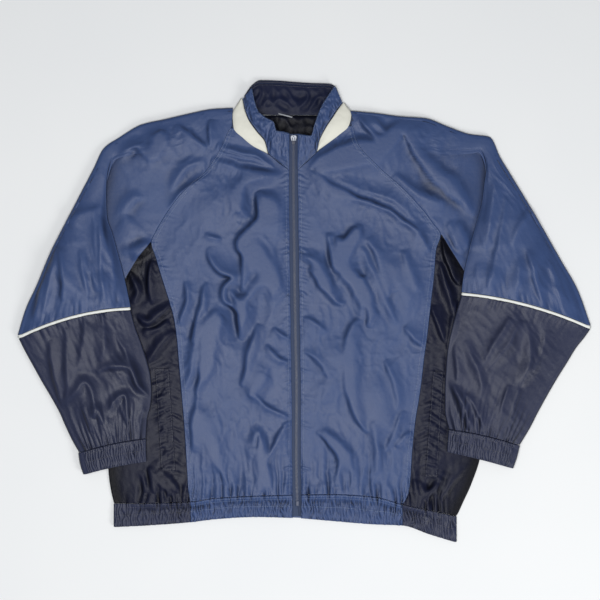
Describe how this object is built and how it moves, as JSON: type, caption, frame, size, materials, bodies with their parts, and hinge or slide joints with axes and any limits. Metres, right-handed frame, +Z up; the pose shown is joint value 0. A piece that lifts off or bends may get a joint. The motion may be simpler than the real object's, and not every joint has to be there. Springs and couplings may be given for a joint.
{
  "type": "windbreaker jacket",
  "caption": "Zip-up windbreaker jacket with raglan sleeves, contrast side panels and piped sleeves, laid flat with its sleeves folded down.",
  "frame": {"origin": "centre of the bounding box in plan, on the flat underside", "axes": "+X to the wearer's left, +Y from hem to collar, +Z up from the table through the layers of cloth"},
  "size_m": [1.0076, 0.8122, 0.0277],
  "materials": {
    "shell": "blue woven nylon with a soft sheen",
    "panel": "dark navy woven nylon with a soft sheen",
    "stripe": "off-white woven nylon",
    "piping": "white corded piping",
    "lining": "near-black woven lining",
    "tape": "matt woven zip tape with moulded teeth",
    "loop": "pale grey tape",
    "slider": "bright plated metal",
    "pull": "dark enamel"
  },
  "bodies": {
    "garment": {"front_right": "shell", "side_front_right": "panel", "side_back_right": "panel", "sleeve_upper_right": "shell", "piping_right": "piping", "sleeve_lower_right": "panel", "cuff_right": "panel", "collar_front_right": "shell", "collar_stripe_right": "stripe", "pocket_welt_right": "panel", "zip_tape_right": "tape", "hem_front_right": "shell", "hem_side_right": "panel", "front_left": "shell", "side_front_left": "panel", "side_back_left": "panel", "sleeve_upper_left": "shell", "piping_left": "piping", "sleeve_lower_left": "panel", "cuff_left": "panel", "collar_front_left": "shell", "collar_stripe_left": "stripe", "pocket_welt_left": "panel", "zip_tape_left": "tape", "hem_front_left": "shell", "hem_side_left": "panel", "back": "shell", "hem_back": "shell", "collar_back": "shell", "collar_lining": "lining", "collar_binding": "shell", "neck_lining": "lining", "hanger_loop": "loop", "zip_slider": "slider"},
    "pull": {"zip_pull": "pull"}
  },
  "joints": [
    {"name": "pull_hinge", "type": "hinge", "parent": "garment", "child": "pull", "pos_m": [-0.01864, 0.30214, 0.02541], "axis": [-1, 0, 0], "range_deg": [0, 165]}
  ]
}
